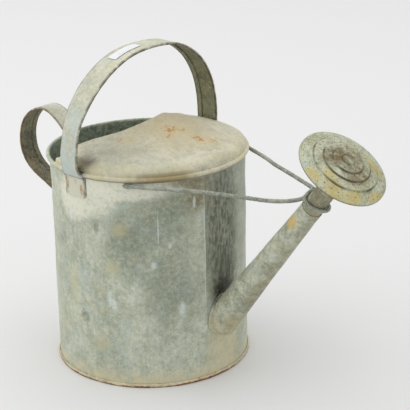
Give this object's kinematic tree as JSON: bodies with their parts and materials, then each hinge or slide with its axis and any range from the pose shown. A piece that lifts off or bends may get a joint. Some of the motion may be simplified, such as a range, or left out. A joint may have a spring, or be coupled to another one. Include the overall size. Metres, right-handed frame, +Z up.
{
  "type": "watering can",
  "caption": "Old galvanised sheet-metal watering can with a half cover, an arched carrying handle, a looped tipping handle, a long spout and a wire-stayed rose.",
  "frame": {"origin": "bottom centre of the whole can with its spout and handles", "axes": "+X is the way the spout points, +Z is up, +Y is across the can"},
  "size_m": [0.53, 0.235, 0.3632],
  "materials": {
    "weathered_zinc": "dull weathered galvanised sheet, mottled grey-green with streaks, drips and a pale solder splash",
    "rusty_zinc": "dull galvanised sheet with cream deposit and brown rust on its edges",
    "cover_zinc": "beige, chalky galvanised sheet with orange rust specks and worn dents",
    "handle_zinc": "blue-grey to beige galvanised strap with dark hemmed edges",
    "rose_patina": "pale green-white patina with ochre patches and dark grooves",
    "wire_zinc": "dull grey galvanised wire",
    "label_paper": "plain white paper slip, blank"
  },
  "bodies": {
    "root": {"body_shell": "weathered_zinc", "base_pan": "rusty_zinc", "top_cover": "cover_zinc", "top_handle": "handle_zinc", "rear_handle": "handle_zinc", "spout": "weathered_zinc", "rose_stem": "rusty_zinc", "rose_back": "rusty_zinc", "rose_face": "rose_patina", "stay_wire": "wire_zinc", "paper_label": "label_paper"}
  },
  "joints": []
}
